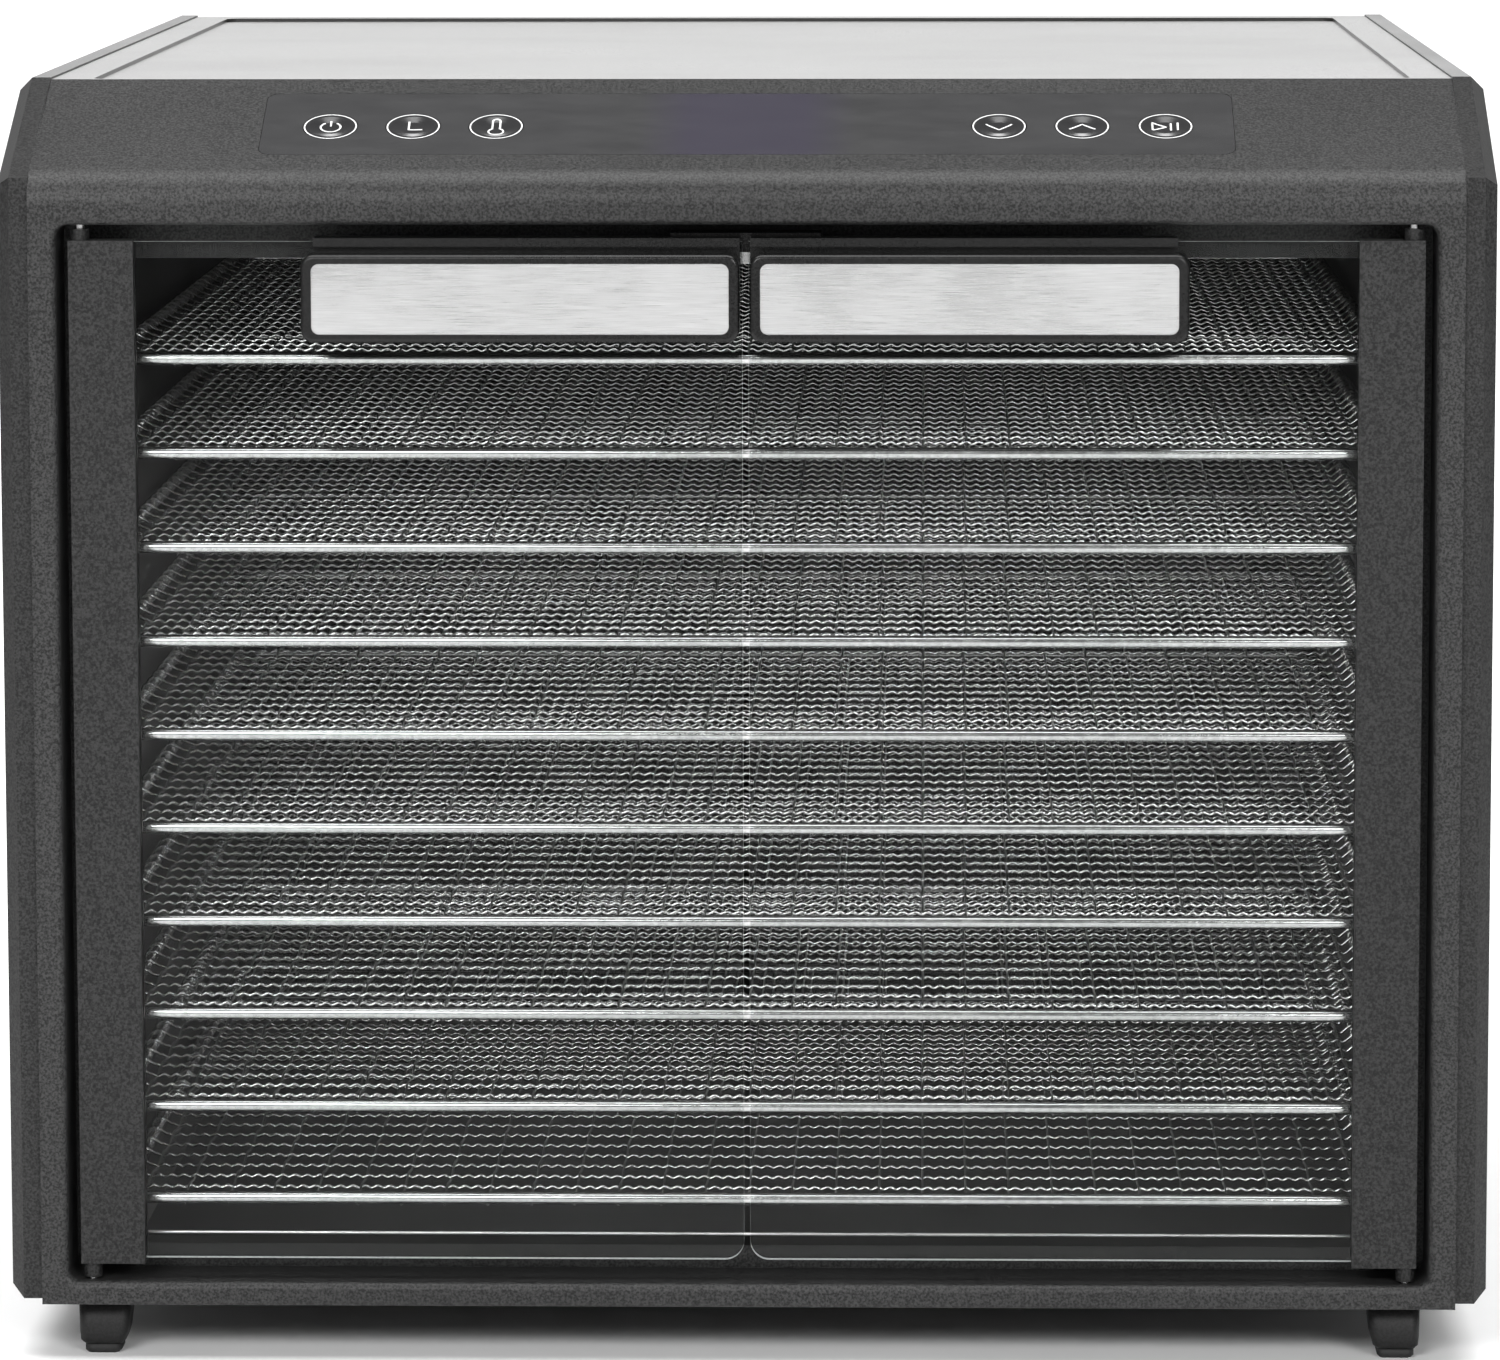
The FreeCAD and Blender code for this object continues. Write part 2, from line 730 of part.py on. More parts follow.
def tray_shape():
    """A round rod bent into a rectangle, with two layers of screen wire welded to it."""
    half = dim("tray_half_width")
    depth = dim("tray_depth")
    corner = dim("tray_corner")
    rod_radius = dim("tray_rod_radius")
    wire_radius = dim("mesh_wire_radius")
    long_radius = dim("long_wire_radius")
    cell = dim("mesh_cell")
    row = dim("mesh_row")
    gap = dim("mesh_gap")
    plate = Part.makeBox(2 * half, depth, 1, FreeCAD.Vector(-half, 0, 0))
    rounded = plate.makeFillet(corner, [edge for edge in plate.Edges if abs(edge.tangentAt(0).z) > 0.9])
    path = next(face for face in rounded.Faces if near(face.CenterOfMass.z, 0)).OuterWire
    start = path.Vertexes[0].Point
    along = path.Edges[0].tangentAt(path.Edges[0].FirstParameter)
    section = Part.Wire(Part.makeCircle(rod_radius, start, along))
    frame = path.makePipeShell([section], True, False)
    wires = []
    for number in range(1, int(depth / row) + 1):
        y = number * row
        if y < depth - rod_radius - wire_radius:
            start = FreeCAD.Vector(-half, y, wire_radius + gap)
            wires.append(Part.makeCylinder(wire_radius, 2 * half, start, X_AXIS))
    columns = int(half / cell)
    for number in range(-columns, columns + 1):
        x = number * cell
        if abs(x) < half - rod_radius - long_radius:
            start = FreeCAD.Vector(x, 0, -long_radius - gap)
            wires.append(Part.makeCylinder(long_radius, depth, start, Y_AXIS))
    return frame.multiFuse(wires)


def trays():
    """Ten removable wire trays and the sheet-metal drip tray under them."""
    shape = tray_shape()
    for index in range(int(dim("tray_count"))):
        tray = doc.addObject("Part::Feature", f"Tray{index + 1}")
        tray.Shape = shape
        place(tray, "0", f"{FRONT} + tray_front", tray_z(index))
        node(f"tray_{index + 1:02d}", tray)
    half = "tray_half_width"
    ends = (f"{FRONT} + tray_front + 1", f"{FRONT} + tray_front + tray_depth")
    outer = block("DripOuter", (f"-{half}", half), ends, ("foot_height + drip_low", "foot_height + drip_high"))
    inner = block("DripInner", (f"-{half} + drip_sheet", f"{half} - drip_sheet"),
                  (f"{ends[0]} + drip_sheet", f"{ends[1]} - drip_sheet"),
                  ("foot_height + drip_low + drip_sheet", "foot_height + drip_high + 1"))
    node("drip_tray", cut("DripTray", outer, inner))


# ---------------------------------------------------------------- doors

def door(side):
    """One clear door: glass, hinge stile with bosses, two pins, handle moulding, insert and strike."""
    name = "Left" if side < 0 else "Right"

    def across(inner, outer):
        return (f"-({outer})", f"-({inner})") if side < 0 else (inner, outer)

    label = name.lower()
    axis_x = f"{side} * hinge_offset"
    low = "foot_height + door_low"
    high = "foot_height + door_high"
    glass_y = (f"{FRONT} + glass_front", f"{FRONT} + glass_front + glass_thickness")

    # Clear pane, rounded at its free lower corner.
    glass = new_body(f"{name}Glass")
    sketch = sketch_on(glass, "XZ_Plane", f"{name}GlassOutline", "body_depth / 2 - glass_front")
    outline(sketch, rectangle(across("glass_inner", "glass_outer"), (f"{low} + glass_inset", f"{high} - 0.5")))
    pad(glass, sketch, "glass_thickness", reverse=True)
    free_x = dim("glass_inner")
    middle_z = value_of(f"{low} + 50")
    soften(glass, "Fillet", "glass_corner", lambda middle, along:
           near(abs(middle.x), free_x) and abs(along.y) > 0.9 and middle.z < middle_z)
    node(f"{label}_door_glass", glass)

    # Hinge stile: a channel that grips the pane, with a boss around each pin.
    bar = block(f"{name}StileBar", across("stile_inner", "stile_outer"),
                (f"{FRONT} + door_front", f"{FRONT} + door_front + stile_thickness"), (low, high))
    slot = block(f"{name}StileSlot", across("stile_inner - 1", "glass_outer + 0.02"),
                 glass_y, (f"{low} - 1", f"{high} + 1"))
    low_boss = rod(f"{name}LowBoss", "boss_radius", "low_boss", axis_x, hinge_y(), f"{low} - low_boss")
    high_boss = rod(f"{name}HighBoss", "boss_radius", "high_boss", axis_x, hinge_y(), high)
    bores = rod(f"{name}PinBore", "pin_radius", "door_high - door_low + 12", axis_x, hinge_y(), f"{low} - 6")
    stile = fuse(f"{name}StileOuter", cut(f"{name}StileChannel", bar, slot), low_boss, high_boss)
    node(f"{label}_door_stile", cut(f"{name}Stile", stile, bores))

    # Pins: short steel dowels that stand out of both ends of the stile.
    pins = [rod(f"{name}LowPin", "pin_radius", "low_pin", axis_x, hinge_y(), f"{low} - pin_seat"),
            rod(f"{name}HighPin", "pin_radius", "high_pin", axis_x, hinge_y(), f"{high} - pin_seat + 0.5")]
    node(f"{label}_hinge_pins", group(f"{name}Pins", pins))
    handle(name, label, across, glass_y)


def handle(name, label, across, glass_y):
    """Handle moulding hooked over the pane's top edge, with a brushed insert and a strike at its back."""
    front = f"{FRONT} - handle_front"
    body = new_body(f"{name}Handle")
    grip = sketch_on(body, "XZ_Plane", f"{name}Grip", "body_depth / 2 - glass_front")
    outline(grip, rectangle(across("handle_inner", "handle_outer"),
                            ("foot_height + handle_low", "foot_height + handle_high")))
    pad(body, grip, "glass_front + handle_front")
    ends = (dim("handle_inner"), dim("handle_outer"))
    soften(body, "Fillet", "handle_corner", lambda middle, along:
           any(near(abs(middle.x), end) for end in ends) and abs(along.y) > 0.9)
    front_y = value_of(front)
    soften(body, "Fillet", "handle_round", lambda middle, along: near(middle.y, front_y))
    centre_x = "(handle_inner + handle_outer) / 2"
    centre_z = "foot_height + (handle_low + handle_high) / 2 - 0.1"
    seat = sketch_on(body, "XZ_Plane", f"{name}InsertSeat", "body_depth / 2 + handle_front")
    seat_x = across(f"{centre_x} - insert_width / 2", f"{centre_x} + insert_width / 2")
    seat_z = (f"{centre_z} - insert_height / 2", f"{centre_z} + insert_height / 2")
    outline(seat, rectangle(seat_x, seat_z))
    pocket(body, seat, "insert_pocket")
    seat_ends = [value_of(text) for text in seat_x]
    soften(body, "Fillet", "insert_corner", lambda middle, along:
           any(near(middle.x, end) for end in seat_ends) and abs(along.y) > 0.9)

    web_x = across("handle_inner", "handle_outer - handle_web")
    over = "foot_height + lip_high"
    hook_back = f"{FRONT} + hook_back"
    web = block(f"{name}Web", web_x, (f"{FRONT} + hook_front", glass_y[0]),
                ("foot_height + handle_high - handle_corner", over))
    lip = block(f"{name}Lip", web_x, (f"{FRONT} - 0.5", glass_y[0]), (f"{over} - lip_thickness", over))
    hook = block(f"{name}Hook", web_x, (f"{FRONT} + hook_front", hook_back),
                 ("foot_height + door_high - 0.5", over))
    leg = block(f"{name}HookLeg", web_x, (glass_y[1], hook_back), ("foot_height + hook_low", over))
    node(f"{label}_handle", fuse(f"{name}HandleMoulding", body, web, lip, hook, leg))

    insert = new_body(f"{name}Insert")
    plate = sketch_on(insert, "XZ_Plane", f"{name}InsertPlate",
                      "body_depth / 2 + handle_front - insert_pocket")
    outline(plate, rectangle(seat_x, seat_z))
    pad(insert, plate, "insert_thickness")
    soften(insert, "Fillet", "insert_corner", lambda middle, along: abs(along.y) > 0.9)
    node(f"{label}_handle_insert", insert)

    node(f"{label}_strike", block(f"{name}Strike", across("handle_inner", "handle_inner + strike_length"),
                                  (hook_back, f"{hook_back} + strike_thickness"),
                                  ("foot_height + catch_low", f"{over} - 1")))


def door_catch():
    """Magnet bar on the header of the cabin flange, behind the handles' strikes."""
    node("door_catch", block("DoorCatch", ("-catch_half_width", "catch_half_width"),
                             (f"{FRONT} + catch_front", RECESS_BACK),
                             ("foot_height + catch_low", "foot_height + catch_high")))


# ---------------------------------------------------------------- controls

def control_panel():
    """Glossy overlay with six key holes, the six keys, and the board and display behind them."""
    overlay = new_body("Overlay")
    sketch = sketch_on(overlay, "XY_Plane", "OverlayOutline", "-overlay_thickness")
    outline(sketch, rectangle(("-overlay_half_width", "overlay_half_width"), ("overlay_low", "overlay_high")))
    for x in key_places():
        circle(sketch, "key_radius + key_gap", x, "key_line")
    pad(overlay, sketch, "overlay_thickness")
    edge_x = dim("overlay_half_width")
    soften(overlay, "Fillet", "overlay_corner", lambda middle, along:
           near(abs(middle.x), edge_x) and abs(along.z) > 0.9)
    node("control_overlay", on_slope(overlay))

    for label, x in zip(KEYS, key_places()):
        key(label, x)

    board_high = "-board_depth + board_thickness"
    board = block("BoardFlat", ("-board_half_width", "board_half_width"), ("0", "board_length"),
                  ("0", "board_thickness"))
    along_slope(board, "10", "-board_depth", "-board_half_width")
    node("control_board", board)
    display = block("DisplayFlat", ("-display_half_width", "display_half_width"), ("0", "display_length"),
                    ("0", "board_depth - board_thickness - overlay_thickness - 0.1"))
    along_slope(display, "overlay_low + 10.5", board_high, "-display_half_width")
    node("display_module", display)


def key(label, x):
    """A dished round cap with a retaining flange and a stem, turned about its own axis."""
    body = new_body(label.title().replace("_", ""))
    half = sketch_on(body, "XZ_Plane", body.Name + "Half")
    face = "-0.05"
    outline(half, [
        ("0", f"{face} - key_dish"),
        ("key_radius * 0.45", f"{face} - key_dish * 0.8"),
        ("key_radius * 0.8", face),
        ("key_radius", face),
        ("key_radius", "-overlay_thickness - 0.25"),
        ("key_radius + key_flange", "-overlay_thickness - 0.25"),
        ("key_radius + key_flange", "-overlay_thickness - 1.25"),
        ("key_stem", "-overlay_thickness - 1.25"),
        ("key_stem", "-board_depth + board_thickness + key_travel"),
        ("0", "-board_depth + board_thickness + key_travel"),
    ])
    turn = body.newObject("PartDesign::Revolution", body.Name + "Turn")
    turn.Profile = half
    turn.ReferenceAxis = (half, ["V_Axis"])
    turn.Angle = 360
    along_slope(body, "key_line", "0", x)
    node(label, body)


# ---------------------------------------------------------------- air system

def air_system():
    """Rear fan with its motor, bracket and shaft, and a ring heater around the blades."""
    fan_y = f"{FRONT} + fan_front"
    hub = rod("FanHub", "hub_radius", "hub_length", "0", fan_y, FAN_Z, Y_AXIS)
    blades = []
    centre = FreeCAD.Vector(0, value_of(fan_y) + dim("hub_length") / 2, value_of(FAN_Z))
    root = FreeCAD.Vector(dim("hub_radius") - dim("blade_root"), -dim("blade_width") / 2,
                          -dim("blade_thickness") / 2)
    pitch = FreeCAD.Rotation(X_AXIS, dim("blade_pitch"))
    for number in range(BLADES):
        blade = doc.addObject("Part::Box", f"FanBlade{number}")
        bind(blade, "Length", "fan_radius - hub_radius + blade_root")
        bind(blade, "Width", "blade_width")
        bind(blade, "Height", "blade_thickness")
        turn = FreeCAD.Rotation(Y_AXIS, 360 / BLADES * number).multiply(pitch)
        blade.Placement = FreeCAD.Placement(centre + turn.multVec(root), turn)
        blades.append(blade)
    bore = rod("FanBore", "shaft_radius", "hub_length + 2", "0", f"{fan_y} - 1", FAN_Z, Y_AXIS)
    node("fan_blades", cut("FanRotor", fuse("FanSolid", hub, *blades), bore))
    shaft_length = "bracket_front - fan_front + 18"
    node("fan_shaft", rod("FanShaft", "shaft_radius", shaft_length, "0", fan_y, FAN_Z, Y_AXIS))

    motor_y = f"{FRONT} + bracket_front + sheet_metal"
    can = rod("MotorCan", "motor_radius", "motor_length", "0", motor_y, FAN_Z, Y_AXIS)
    socket = rod("MotorBore", "shaft_radius + 0.06", "motor_length - 3", "0", f"{motor_y} - 1", FAN_Z, Y_AXIS)
    node("fan_motor", cut("FanMotor", can, socket))
    tall = (f"{FAN_Z} - bracket_half_height", f"{FAN_Z} + bracket_half_height")
    plate = block("BracketPlate", ("-bracket_reach", "bracket_reach"),
                  (f"{FRONT} + bracket_front", motor_y), tall)
    ends = [block(f"BracketLeg{side + 1}",
                  (f"{side} * (bracket_reach - 1) - 1", f"{side} * (bracket_reach - 1) + 1"),
                  (f"{FRONT} + bracket_front", f"{BACK} - sheet_metal"), tall)
            for side in (-1, 1)]
    hole = rod("BracketHole", "shaft_radius + 1", "6", "0", f"{FRONT} + bracket_front - 2", FAN_Z, Y_AXIS)
    node("motor_bracket", cut("MotorBracket", fuse("BracketSolid", plate, *ends), hole))

    rings = []
    for number, y in enumerate(("heater_front", "heater_front + heater_spacing")):
        ring = doc.addObject("Part::Torus", f"HeaterRing{number}")
        bind(ring, "Radius1", "heater_radius")
        bind(ring, "Radius2", "heater_tube")
        ring.Placement = FreeCAD.Placement(FreeCAD.Vector(), FreeCAD.Rotation(Z_AXIS, Y_AXIS))
        rings.append(place(ring, "0", f"{FRONT} + {y}", FAN_Z))
    node("heating_element", group("HeatingElement", rings))
    clips = []
    inner = "heater_radius + heater_tube + 0.1"
    for number, low in enumerate((f"{FAN_Z} - ({inner}) - clip_thickness", f"{FAN_Z} + {inner}")):
        clips.append(block(f"HeaterClip{number}", ("-clip_half_width", "clip_half_width"),
                           (f"{FRONT} + clip_front", f"{BACK} - sheet_metal"),
                           (low, f"({low}) + clip_thickness")))
    node("heater_clips", group("HeaterClips", clips))


# ---------------------------------------------------------------- feet and screws

def feet():
    """Four posts with rubber pads."""
    posts = []
    pads = []
    half = "foot_size / 2"
    for side in (-1, 1):
        for end, y in (("Front", f"{FRONT} + foot_front + {half}"), ("Back", f"{BACK} - foot_front - {half}")):
            x_range = (f"{side} * foot_offset - {half}", f"{side} * foot_offset + {half}")
            y_range = (f"{y} - {half}", f"{y} + {half}")
            name = f"{end}{side + 1}"
            post = block(f"Post{name}", x_range, y_range, ("pad_height", "foot_height"))
            posts.append(rounded_upright(f"PostRound{name}", post, "foot_corner"))
            pad_block = block(f"Pad{name}", (f"{x_range[0]} + pad_inset", f"{x_range[1]} - pad_inset"),
                              (f"{y_range[0]} + pad_inset", f"{y_range[1]} - pad_inset"), ("0", "pad_height"))
            pads.append(rounded_upright(f"PadRound{name}", pad_block, "foot_corner"))
    node("feet", group("Feet", posts))
    node("foot_pads", group("FootPads", pads))


def rear_screws():
    """Panel screws round the edge of the rear panel."""
    heads = []
    places = [(x, z) for x in ("-screw_offset", "0", "screw_offset")
              for z in ("foot_height + 12", f"{TOP} - 14")]
    places += [(x, FAN_Z) for x in ("-screw_offset", "screw_offset")]
    for number, (x, z) in enumerate(places):
        head = rod(f"ScrewHead{number}", "screw_radius", "screw_height", x, BACK, z, Y_AXIS)
        slot = block(f"ScrewSlot{number}", (f"{x} - 2.4", f"{x} + 2.4"), (f"{BACK} + 1", f"{BACK} + 3"),
                     (f"{z} - 0.4", f"{z} + 0.4"))
        heads.append(cut(f"Screw{number}", head, slot))
    node("rear_screws", group("RearScrews", heads))


# ---------------------------------------------------------------- build, check, write

def build():
    fill_sheet()
    front_frame()
    top_panel()
    side_panel(-1)
    side_panel(1)
    sheet_panels()
    power_inlet()
    rear_cover()
    cabin()
    tray_rails()
    trays()
    door(-1)
    door(1)
    door_catch()
    control_panel()
    air_system()
    feet()
    rear_screws()
    doc.recompute()


def check():
    for obj in doc.Objects:
        if "Invalid" in obj.State or "Error" in obj.State:
            raise RuntimeError(f"{obj.Name} failed: {obj.State}")
    for label, obj in nodes.items():
        shape = obj.Shape
        if shape.isNull() or not shape.isValid() or not shape.Solids:
            raise RuntimeError(f"{label} has no valid solid")


def write():
    os.makedirs("parts", exist_ok=True)
    for label, obj in nodes.items():
        obj.Shape.exportStep(f"parts/{label}.step")
    print(len(nodes), "nodes written")


build()
check()
write()
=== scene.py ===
import math

import bpy
from mathutils import Matrix, Vector
from mathutils.bvhtree import BVHTree


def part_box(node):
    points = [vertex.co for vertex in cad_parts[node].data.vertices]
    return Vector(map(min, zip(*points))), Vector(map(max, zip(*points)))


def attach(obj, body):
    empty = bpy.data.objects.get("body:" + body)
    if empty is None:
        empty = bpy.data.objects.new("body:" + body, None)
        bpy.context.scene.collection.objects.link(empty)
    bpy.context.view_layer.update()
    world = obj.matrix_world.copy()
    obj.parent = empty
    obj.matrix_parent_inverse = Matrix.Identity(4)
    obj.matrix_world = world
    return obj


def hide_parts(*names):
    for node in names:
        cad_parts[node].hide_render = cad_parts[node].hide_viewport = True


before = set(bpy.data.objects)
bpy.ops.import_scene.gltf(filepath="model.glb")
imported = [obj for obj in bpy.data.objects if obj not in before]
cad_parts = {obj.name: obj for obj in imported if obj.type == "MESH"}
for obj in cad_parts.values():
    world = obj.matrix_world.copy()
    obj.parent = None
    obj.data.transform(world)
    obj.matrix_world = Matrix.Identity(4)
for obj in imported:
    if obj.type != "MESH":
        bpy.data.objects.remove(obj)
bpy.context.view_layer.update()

# The looks of a food dehydrator with two clear doors and ten wire trays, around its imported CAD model.
# Everything is in metres, +Z up, front towards -Y.

MM = 0.001

# camera
LENS = 165.97
SENSOR = 36.0
SHIFT_DOWN = -0.1
CAMERA_PLACE = (0.05704, -2.3922, 0.5195)
CAMERA_YAW = -0.026
CAMERA_PITCH = 0.1185
CAMERA_ROLL = -0.002
VIEW_DISTANCE = 100

# studio
FLOOR_REACH = 20.0
SURROUND_STRENGTH = 0.22

# trays
TRAY_COUNT = 10
ROD_RADIUS = 2.0 * MM
ROD_SIDES = 12
CORNER_RADIUS = 9.0 * MM
CORNER_STEPS = 6
CELL = 13.8 * MM
WIRE_RADIUS = 0.5 * MM
WIRE_SIDES = 5
WAVE_LENGTH = 4.0 * MM
WAVE_HEIGHT = 0.42 * MM
WAVE_STEPS = 6
ROW_PITCH = 16.0 * MM
LONG_WIRE_RADIUS = 0.36 * MM
WEAVE_HEIGHT = 0.85 * MM
WEAVE_STEPS = 4

# feet
FOOT_SIZE = 17.0 * MM

# door catch
CATCH_PROUD = 0.4 * MM
CATCH_HALF = 3.4
CATCH_LOW = 0.2
CATCH_HIGH = 3.8
CATCH_CUT = 0.4

# drip tray
HEM_RADIUS = 0.6 * MM
HEM_SIDES = 8
DRIP_CORNER = 6.0 * MM
DRIP_SLANT = 4.0 * MM
DRIP_SHEET = 0.8 * MM

# tints of the heated tube and of the top
SCORCHED = (1.0, 0.96, 0.90)
WARM = (1.0, 0.97, 0.94)

# control panel
SLOPE = math.radians(23.5)
OVERLAY_LENGTH = 42.0 * MM
KEY_LINE_UP = 19.2 * MM
RING_OUTER = 8.35 * MM
RING_INNER = 7.9 * MM
STROKE = 0.6 * MM
PRINT_LIFT = 0.03 * MM
SYMBOL_SIZE = 1.2
SYMBOL_RISE = 0.7 * MM
RING_STEPS = 72
LINE_STEPS = 6
RAY_START = 5.0 * MM
KEYS = ("key_power", "key_time", "key_temperature", "key_down", "key_up", "key_start")


# ---------------------------------------------------------------- node materials

class Shader:
    """A node material while it is being wired."""

    def __init__(self, name):
        self.material = bpy.data.materials.new(name)
        self.material.use_nodes = True
        self.tree = self.material.node_tree
        self.tree.nodes.clear()
        self.output = self.tree.nodes.new("ShaderNodeOutputMaterial")

    def add(self, kind, inputs=None, **settings):
        """Adds a node; a socket among the inputs is linked, anything else is set."""
        made = self.tree.nodes.new("ShaderNode" + kind)
        for key, value in settings.items():
            setattr(made, key, value)
        for key, value in (inputs or {}).items():
            if isinstance(value, bpy.types.NodeSocket):
                self.tree.links.new(value, made.inputs[key])
            else:
                made.inputs[key].default_value = value
        return made

    def place(self, stretch=(1, 1, 1)):
        """The point on the object, stretched along its axes."""
        point = self.add("TexCoord").outputs["Object"]
        return self.add("Mapping", {"Vector": point, "Scale": stretch}).outputs[0]

    def noise(self, scale, detail=2.0, roughness=0.5, stretch=(1, 1, 1)):
        return self.add("TexNoise", {
            "Vector": self.place(stretch), "Scale": scale, "Detail": detail, "Roughness": roughness,
        }).outputs[0]

    def remap(self, value, low, high, start=0.3, end=0.7):
        return self.add("MapRange", {
            "Value": value, "From Min": start, "From Max": end, "To Min": low, "To Max": high,
        }).outputs[0]

    def blend(self, share, first, second, kind="MIX"):
        made = self.add("Mix", data_type="RGBA", blend_type=kind)
        for index, value in ((0, share), (6, first), (7, second)):
            if isinstance(value, bpy.types.NodeSocket):
                self.tree.links.new(value, made.inputs[index])
            else:
                made.inputs[index].default_value = value
        return made.outputs[2]

    def math(self, operation, first, second=0.5, third=0.0):
        made = self.add("Math", operation=operation)
        for index, value in enumerate((first, second, third)):
            if isinstance(value, bpy.types.NodeSocket):
                self.tree.links.new(value, made.inputs[index])
            else:
                made.inputs[index].default_value = value
        return made.outputs[0]

    def bump(self, height, distance, strength=1.0):
        return self.add("Bump", {"Height": height, "Distance": distance, "Strength": strength}).outputs[0]

    def principled(self, inputs):
        return self.add("BsdfPrincipled", inputs)

    def finish(self, shader):
        self.tree.links.new(shader.outputs[0], self.output.inputs[0])
        return self.material


def grey(value, tint=(1.0, 1.0, 1.0)):
    """A grey of that value, with its three channels scaled by the tint."""
    return (value * tint[0], value * tint[1], value * tint[2], 1.0)


def moulded(name, dark, light, grain, depth, rough, tint=(1, 1, 1), level=0.5):
    """Spark-eroded plastic: a fine two-tone grain, faint flow marks and patches of wear."""
    s = Shader(name)
    fine = s.noise(grain, 2.0, 0.6)
    flow = s.noise(7.0, 3.0, 0.5)
    colour = s.blend(s.remap(fine, 0.0, 1.0, 0.36, 0.64), grey(dark, tint), grey(light, tint))
    shade = s.remap(flow, 0.86, 1.12)
    shade_grey = s.add("CombineColor", {0: shade, 1: shade, 2: shade}).outputs[0]
    colour = s.blend(1.0, colour, shade_grey, "MULTIPLY")
    roughness = s.math("ADD", s.remap(flow, rough[0], rough[1]), s.remap(fine, -0.03, 0.03))
    return s.finish(s.principled({
        "Base Color": colour, "Roughness": roughness, "Specular IOR Level": level,
        "Normal": s.bump(fine, depth),
    }))


def polished(name, colour, rough):
    """Glossy plastic with slow waviness and faint smears."""
    s = Shader(name)
    smear = s.noise(60.0, 4.0, 0.6, (1.0, 3.0, 3.0))
    fine = s.noise(900.0, 2.0)
    base = s.blend(s.remap(smear, 0.0, 1.0), [c * 0.85 for c in colour] + [1.0], list(colour) + [1.0])
    return s.finish(s.principled({
        "Base Color": base, "Roughness": s.remap(smear, rough[0], rough[1]), "Specular IOR Level": 0.5,
        "Normal": s.bump(fine, 0.004 * MM),
    }))


def metal(name, dark, light, rough, grain, stretch=(1, 1, 1), depth=0.01 * MM, tint=(1, 1, 1)):
    """Bare metal whose grain runs along the axis with the smallest stretch."""
    s = Shader(name)
    lines = s.noise(grain, 3.0, 0.65, stretch)
    cloud = s.noise(25.0, 3.0)
    base = s.blend(s.remap(lines, 0.0, 1.0), grey(dark, tint), grey(light, tint))
    roughness = s.math("ADD", s.remap(lines, rough[0], rough[1]), s.remap(cloud, -0.03, 0.04))
    return s.finish(s.principled({
        "Base Color": base, "Metallic": 1.0, "Roughness": roughness, "Normal": s.bump(lines, depth),
    }))


def clear_pane():
    """Clear pane: see-through on its faces, paler and duller on its cut edges."""
    s = Shader("clear_pane")
    facing = s.add("LayerWeight", {"Blend": 0.5}).outputs["Facing"]
    mirror = s.math("MULTIPLY_ADD", s.math("POWER", facing, 5.0), 0.9, 0.007)
    smudge = s.remap(s.noise(35.0, 4.0, 0.6), 0.0, 0.05)
    tint = s.blend(s.remap(s.noise(12.0, 2.0), 0.0, 1.0), (0.865, 0.875, 0.87, 1), (0.895, 0.90, 0.898, 1))
    through = s.add("BsdfTransparent", {"Color": tint})
    gloss = s.add("BsdfGlossy", {"Color": (1, 1, 1, 1), "Roughness": s.math("ADD", smudge, 0.015)})
    face = s.add("MixShader", {0: mirror, 1: through.outputs[0], 2: gloss.outputs[0]})
    normal = s.add("SeparateXYZ", {0: s.add("TexCoord").outputs["Normal"]}).outputs[1]
    side = s.math("LESS_THAN", s.math("ABSOLUTE", normal), 0.7)
    ground = s.noise(900.0, 3.0)
    edge = s.principled({
        "Base Color": s.blend(s.remap(ground, 0.0, 1.0), (0.50, 0.52, 0.52, 1), (0.72, 0.74, 0.74, 1)),
        "Roughness": s.remap(ground, 0.25, 0.4), "Normal": s.bump(ground, 0.01 * MM),
    })
    return s.finish(s.add("MixShader", {0: side, 1: face.outputs[0], 2: edge.outputs[0]}))


def overlay_gloss():
    """Glossy control film: dark grey, with a slightly violet unlit display window in its middle."""
    s = Shader("overlay_gloss")
    smear = s.noise(45.0, 4.0, 0.6, (1.0, 3.0, 3.0))
    x = s.math("ABSOLUTE", s.add("SeparateXYZ", {0: s.place()}).outputs[0])
    window = s.remap(x, 1.0, 0.0, 18 * MM, 34 * MM)
    plain = s.blend(s.remap(smear, 0.0, 1.0), (0.030, 0.030, 0.031, 1), (0.038, 0.038, 0.039, 1))
    colour = s.blend(window, plain, (0.033, 0.030, 0.043, 1))
    return s.finish(s.principled({
        "Base Color": colour, "Roughness": s.remap(smear, 0.13, 0.22), "Specular IOR Level": 0.5,
        "Normal": s.bump(smear, 0.01 * MM),
    }))


def gauze():
    """Fine black woven gauze, by its crossing threads."""
    s = Shader("filter_gauze")
    across, _, upright = s.add("SeparateXYZ", {0: s.place((4500, 4500, 4500))}).outputs
    threads = s.math("MULTIPLY", s.math("SINE", across), s.math("SINE", upright))
    return s.finish(s.principled({
        "Base Color": s.blend(s.remap(threads, 0.0, 1.0, -0.5, 0.5), grey(0.004), grey(0.020)),
        "Roughness": s.remap(s.noise(40.0), 0.55, 0.7), "Normal": s.bump(threads, 0.05 * MM),
    }))


